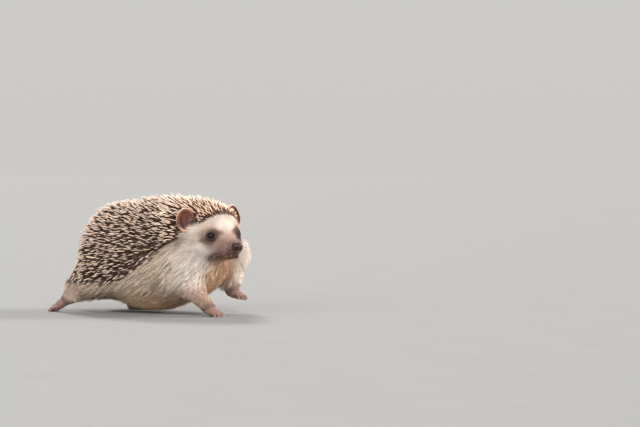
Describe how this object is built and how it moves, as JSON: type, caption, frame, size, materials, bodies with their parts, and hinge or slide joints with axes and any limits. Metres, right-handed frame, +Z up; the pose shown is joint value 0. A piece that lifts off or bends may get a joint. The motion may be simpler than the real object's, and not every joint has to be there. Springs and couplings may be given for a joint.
{
  "type": "hedgehog",
  "caption": "Still, life-size four-toed hedgehog on the move, with a spiny back, long flank fur, round ears and a pointed muzzle, one forepaw raised.",
  "frame": {"origin": "on the floor, below the middle of the whole object's box", "axes": "+X from the rump to the head, +Y to the animal's left, +Z up"},
  "size_m": [0.2234, 0.1106, 0.112],
  "materials": {
    "spines": "cream spines with a dark brown band, smooth, with a soft sheen",
    "face_fur": "short fur, white on brow and cheeks, mauve-taupe on the muzzle and round the eyes",
    "body_fur": "long soft fur, cream above and warm tan on chest and belly",
    "leg_fur": "short brownish fur",
    "skin": "bare, finely creased mauve-pink skin of ears, paws and toes",
    "nose": "dark, pebbled, moist skin",
    "eye": "black, glossy and wet",
    "claw": "smooth pale horn"
  },
  "bodies": {
    "root": {"eye_right": "eye", "eye_left": "eye", "nose": "nose", "head": "face_fur", "crown": "spines", "ear_right": "skin", "ear_left": "skin", "back": "spines", "rump": "spines", "underside": "body_fur", "fore_leg_right": "leg_fur", "fore_paw_right": "skin", "hind_leg_right": "leg_fur", "hind_foot_right": "skin", "fore_leg_left": "leg_fur", "fore_paw_left": "skin", "hind_leg_left": "leg_fur", "hind_foot_left": "skin", "tail": "leg_fur"}
  },
  "joints": []
}
